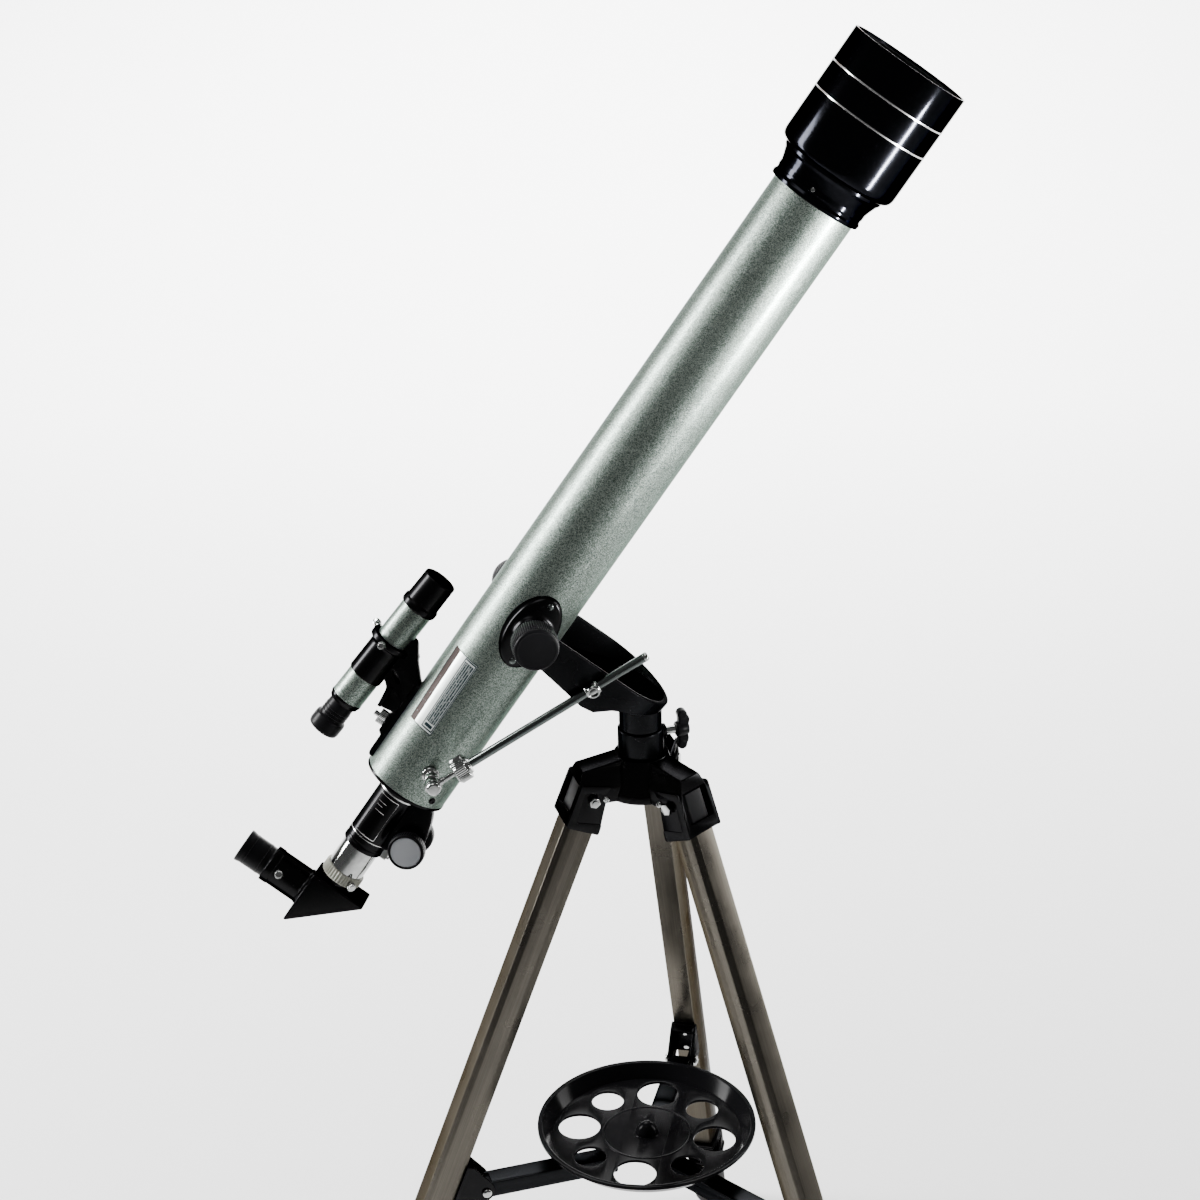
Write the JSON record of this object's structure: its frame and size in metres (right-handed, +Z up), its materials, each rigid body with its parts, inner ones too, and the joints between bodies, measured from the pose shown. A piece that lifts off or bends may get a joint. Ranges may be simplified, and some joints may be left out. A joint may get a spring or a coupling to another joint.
{
  "type": "refractor telescope",
  "caption": "Refractor telescope with finder, rack focuser and diagonal on an inclined yoke mount and a folding tripod with accessory tray.",
  "frame": {"origin": "on the floor under the middle of the overall box, with the tripod standing on the floor", "axes": "+Z up, +X the way the tube points, seen from above; the tube's vertical plane is the XZ plane"},
  "size_m": [0.5204, 0.4588, 1.0973],
  "materials": {
    "hub_plastic": "moulded black plastic, satin gloss",
    "bright_metal": "bright nickel and chrome plate",
    "black_plastic": "moulded black plastic, gloss",
    "tray_plastic": "moulded black plastic, high gloss",
    "yoke_black": "black gloss enamel on cast alloy",
    "rod_metal": "dark plated steel",
    "tube_paint": "silver green metallic paint with fine flake",
    "cell_plastic": "moulded black plastic, gloss",
    "lens_glass": "coated optical glass",
    "hood_plastic": "black gloss dew shield with two silver rings",
    "focuser_plastic": "moulded black plastic, gloss",
    "pinion_brass": "machined brass",
    "ring_plastic": "pale grey plastic, knurled",
    "diagonal_plastic": "moulded black plastic, gloss",
    "eyepiece_plastic": "black plastic, satin",
    "leg_aluminium": "satin anodised extrusion",
    "foot_rubber": "black rubber, matt",
    "arm_paint": "black enamel on pressed steel"
  },
  "bodies": {
    "base": {"hub": "hub_plastic", "hinge_bolts": "bright_metal"},
    "tray": {"brace_plate": "black_plastic", "accessory_tray": "tray_plastic"},
    "tray_knob": {"tray_knob": "black_plastic"},
    "mount": {"yoke": "yoke_black"},
    "azimuth_lock": {"azimuth_knob": "black_plastic"},
    "tube": {"main_tube": "tube_paint", "objective_cell": "cell_plastic", "crown_lens": "lens_glass", "flint_lens": "lens_glass", "lens_ring": "black_plastic", "dew_shield": "hood_plastic", "focuser_body": "focuser_plastic", "pivot_plates": "black_plastic", "pivot_plate_screws": "bright_metal", "guide_stud": "bright_metal", "finder_bracket": "black_plastic", "finder_tube": "tube_paint", "finder_screws": "bright_metal"},
    "knob_near": {"altitude_knob_near": "black_plastic"},
    "knob_far": {"altitude_knob_far": "black_plastic"},
    "guide_screw": {"guide_screw": "bright_metal"},
    "guide_rod": {"guide_rod": "rod_metal"},
    "guide_nut": {"guide_nut": "bright_metal"},
    "rod_swivel": {"rod_swivel": "bright_metal"},
    "focus_drive": {"focus_pinion": "pinion_brass", "focus_knobs": "black_plastic"},
    "draw": {"drawtube": "bright_metal", "drawtube_ring": "ring_plastic"},
    "draw_screw": {"drawtube_screw": "bright_metal"},
    "diagonal": {"diagonal_housing": "diagonal_plastic", "diagonal_prism": "lens_glass"},
    "eyepiece": {"eyepiece": "eyepiece_plastic"},
    "eyepiece_screw": {"eyepiece_screw": "bright_metal"},
    "finder_eye": {"finder_eyepiece": "eyepiece_plastic"},
    "leg_1": {"leg_1": "leg_aluminium", "leg_clamp_1": "black_plastic", "brace_bracket_1": "black_plastic", "brace_pin_1": "bright_metal"},
    "lower_leg_1": {"lower_leg_1": "leg_aluminium", "foot_1": "foot_rubber"},
    "leg_screw_1": {"leg_screw_1": "black_plastic"},
    "brace_arm_1": {"brace_arm_1": "arm_paint"},
    "leg_2": {"leg_2": "leg_aluminium", "leg_clamp_2": "black_plastic", "brace_bracket_2": "black_plastic", "brace_pin_2": "bright_metal"},
    "lower_leg_2": {"lower_leg_2": "leg_aluminium", "foot_2": "foot_rubber"},
    "leg_screw_2": {"leg_screw_2": "black_plastic"},
    "brace_arm_2": {"brace_arm_2": "arm_paint"},
    "leg_3": {"leg_3": "leg_aluminium", "leg_clamp_3": "black_plastic", "brace_bracket_3": "black_plastic", "brace_pin_3": "bright_metal"},
    "lower_leg_3": {"lower_leg_3": "leg_aluminium", "foot_3": "foot_rubber"},
    "leg_screw_3": {"leg_screw_3": "black_plastic"},
    "brace_arm_3": {"brace_arm_3": "arm_paint"}
  },
  "joints": [
    {"name": "azimuth", "type": "hinge", "parent": "base", "child": "mount", "pos_m": [0.03728, -0.0177, 0.6], "axis": [0, 0, 1], "continuous": true},
    {"name": "azimuth_lock_turn", "type": "hinge", "parent": "base", "child": "azimuth_lock", "pos_m": [0.05708, -0.01489, 0.592], "axis": [0.99, 0.1409, 0], "range_deg": [-90, 360]},
    {"name": "altitude", "type": "hinge", "parent": "mount", "child": "tube", "pos_m": [-0.04381, -0.0177, 0.696], "axis": [0, -1, 0], "range_deg": [-35, 20]},
    {"name": "altitude_knob_near_turn", "type": "hinge", "parent": "mount", "child": "knob_near", "pos_m": [-0.04381, -0.06771, 0.696], "axis": [0, -1, 0], "range_deg": [-90, 360]},
    {"name": "altitude_knob_far_turn", "type": "hinge", "parent": "mount", "child": "knob_far", "pos_m": [-0.04381, 0.03229, 0.696], "axis": [0, 1, 0], "range_deg": [-90, 360]},
    {"name": "guide_pivot", "type": "hinge", "parent": "tube", "child": "guide_screw", "pos_m": [-0.1182, -0.06671, 0.59183], "axis": [0, -1, 0], "range_deg": [-3.2, 5.5]},
    {"name": "rod_extension", "type": "slide", "parent": "guide_screw", "child": "guide_rod", "axis": [0.8699, 0, 0.4932], "range_m": [-0.01, 0.01]},
    {"name": "guide_nut_turn", "type": "hinge", "parent": "guide_rod", "child": "guide_nut", "pos_m": [-0.09645, -0.06671, 0.60416], "axis": [0.8699, 0, 0.4932], "range_deg": [-3600, 3600]},
    {"name": "swivel_slide", "type": "slide", "parent": "guide_screw", "child": "rod_swivel", "axis": [0.8699, 0, 0.4932], "range_m": [-0.018, 0.0312]},
    {"name": "focus", "type": "hinge", "parent": "tube", "child": "focus_drive", "pos_m": [-0.13268, -0.02682, 0.52599], "axis": [-0.265, -0.9455, 0.1892], "range_deg": [-143.4, 302.6]},
    {"name": "draw_slide", "type": "slide", "parent": "tube", "child": "draw", "axis": [-0.5811, 0, -0.8138], "range_m": [-0.018, 0.038]},
    {"name": "draw_screw_turn", "type": "hinge", "parent": "draw", "child": "draw_screw", "pos_m": [-0.17908, -0.03219, 0.49989], "axis": [0.2106, -0.9659, -0.1504], "range_deg": [0, 720]},
    {"name": "diagonal_turn", "type": "hinge", "parent": "draw", "child": "diagonal", "pos_m": [-0.1891, -0.0177, 0.49255], "axis": [0.5811, 0, 0.8138], "continuous": true},
    {"name": "eyepiece_slide", "type": "slide", "parent": "diagonal", "child": "eyepiece", "axis": [-0.7695, 0.3256, 0.5495], "range_m": [0, 0.022]},
    {"name": "eyepiece_screw_turn", "type": "hinge", "parent": "diagonal", "child": "eyepiece_screw", "pos_m": [-0.2282, -0.01854, 0.50598], "axis": [-0.1383, -0.9249, 0.3543], "range_deg": [0, 720]},
    {"name": "finder_focus", "type": "slide", "parent": "tube", "child": "finder_eye", "axis": [-0.6303, 0.0214, -0.776], "range_m": [-0.003, 0.003]},
    {"name": "brace_rise", "type": "slide", "parent": "base", "child": "tray", "axis": [0, 0, 1], "range_m": [0, 0.07]},
    {"name": "tray_knob_turn", "type": "hinge", "parent": "tray", "child": "tray_knob", "pos_m": [0.03728, -0.0177, 0.25], "axis": [0, 0, 1], "continuous": true},
    {"name": "leg_1_fold", "type": "hinge", "parent": "base", "child": "leg_1", "pos_m": [-0.00331, -0.02348, 0.553], "axis": [0.1409, -0.99, 0], "range_deg": [0, 6.5]},
    {"name": "leg_1_extend", "type": "slide", "parent": "leg_1", "child": "lower_leg_1", "axis": [-0.3598, -0.0512, -0.9316], "range_m": [0, 0.26]},
    {"name": "leg_1_screw_turn", "type": "hinge", "parent": "leg_1", "child": "leg_screw_1", "pos_m": [-0.20207, -0.05177, 0.07959], "axis": [-0.9223, -0.1313, 0.3634], "range_deg": [0, 720]},
    {"name": "brace_1_fold", "type": "hinge", "parent": "leg_1", "child": "brace_arm_1", "pos_m": [-0.09238, -0.03616, 0.22797], "axis": [0.1409, -0.99, 0], "range_deg": [0, 34]},
    {"name": "leg_2_fold", "type": "hinge", "parent": "base", "child": "leg_2", "pos_m": [0.06258, -0.04997, 0.553], "axis": [0.7869, 0.617, 0], "range_deg": [0, 6.5]},
    {"name": "leg_2_extend", "type": "slide", "parent": "leg_2", "child": "lower_leg_2", "axis": [0.2242, -0.286, -0.9316], "range_m": [0, 0.26]},
    {"name": "leg_2_screw_turn", "type": "hinge", "parent": "leg_2", "child": "leg_screw_2", "pos_m": [0.18646, -0.20796, 0.07959], "axis": [0.5748, -0.7331, 0.3634], "range_deg": [0, 720]},
    {"name": "brace_2_fold", "type": "hinge", "parent": "leg_2", "child": "brace_arm_2", "pos_m": [0.1181, -0.12077, 0.22797], "axis": [0.7869, 0.617, 0], "range_deg": [0, 34]},
    {"name": "leg_3_fold", "type": "hinge", "parent": "base", "child": "leg_3", "pos_m": [0.05258, 0.02034, 0.553], "axis": [-0.9278, 0.373, 0], "range_deg": [0, 6.5]},
    {"name": "leg_3_extend", "type": "slide", "parent": "leg_3", "child": "lower_leg_3", "axis": [0.1355, 0.3372, -0.9316], "range_m": [0, 0.26]},
    {"name": "leg_3_screw_turn", "type": "hinge", "parent": "leg_3", "child": "leg_screw_3", "pos_m": [0.12746, 0.20662, 0.07959], "axis": [0.3475, 0.8644, 0.3634], "range_deg": [0, 720]},
    {"name": "brace_3_fold", "type": "hinge", "parent": "leg_3", "child": "brace_arm_3", "pos_m": [0.08614, 0.10381, 0.22797], "axis": [-0.9278, 0.373, 0], "range_deg": [0, 34]}
  ],
  "couplings": [
    {"joint": "guide_pivot", "follows": "altitude", "ratio": -0.1559},
    {"joint": "swivel_slide", "follows": "altitude", "m_per_rad": -0.050361},
    {"joint": "guide_nut_turn", "follows": "rod_extension", "rad_per_m": 6283.2},
    {"joint": "focus", "follows": "draw_slide", "rad_per_m": 138.89},
    {"joint": "brace_1_fold", "follows": "leg_1_fold", "ratio": 5.2},
    {"joint": "leg_2_fold", "follows": "leg_1_fold", "ratio": 1},
    {"joint": "brace_2_fold", "follows": "leg_1_fold", "ratio": 5.2},
    {"joint": "leg_3_fold", "follows": "leg_1_fold", "ratio": 1},
    {"joint": "brace_3_fold", "follows": "leg_1_fold", "ratio": 5.2},
    {"joint": "brace_rise", "follows": "leg_1_fold", "m_per_rad": 0.60733}
  ]
}
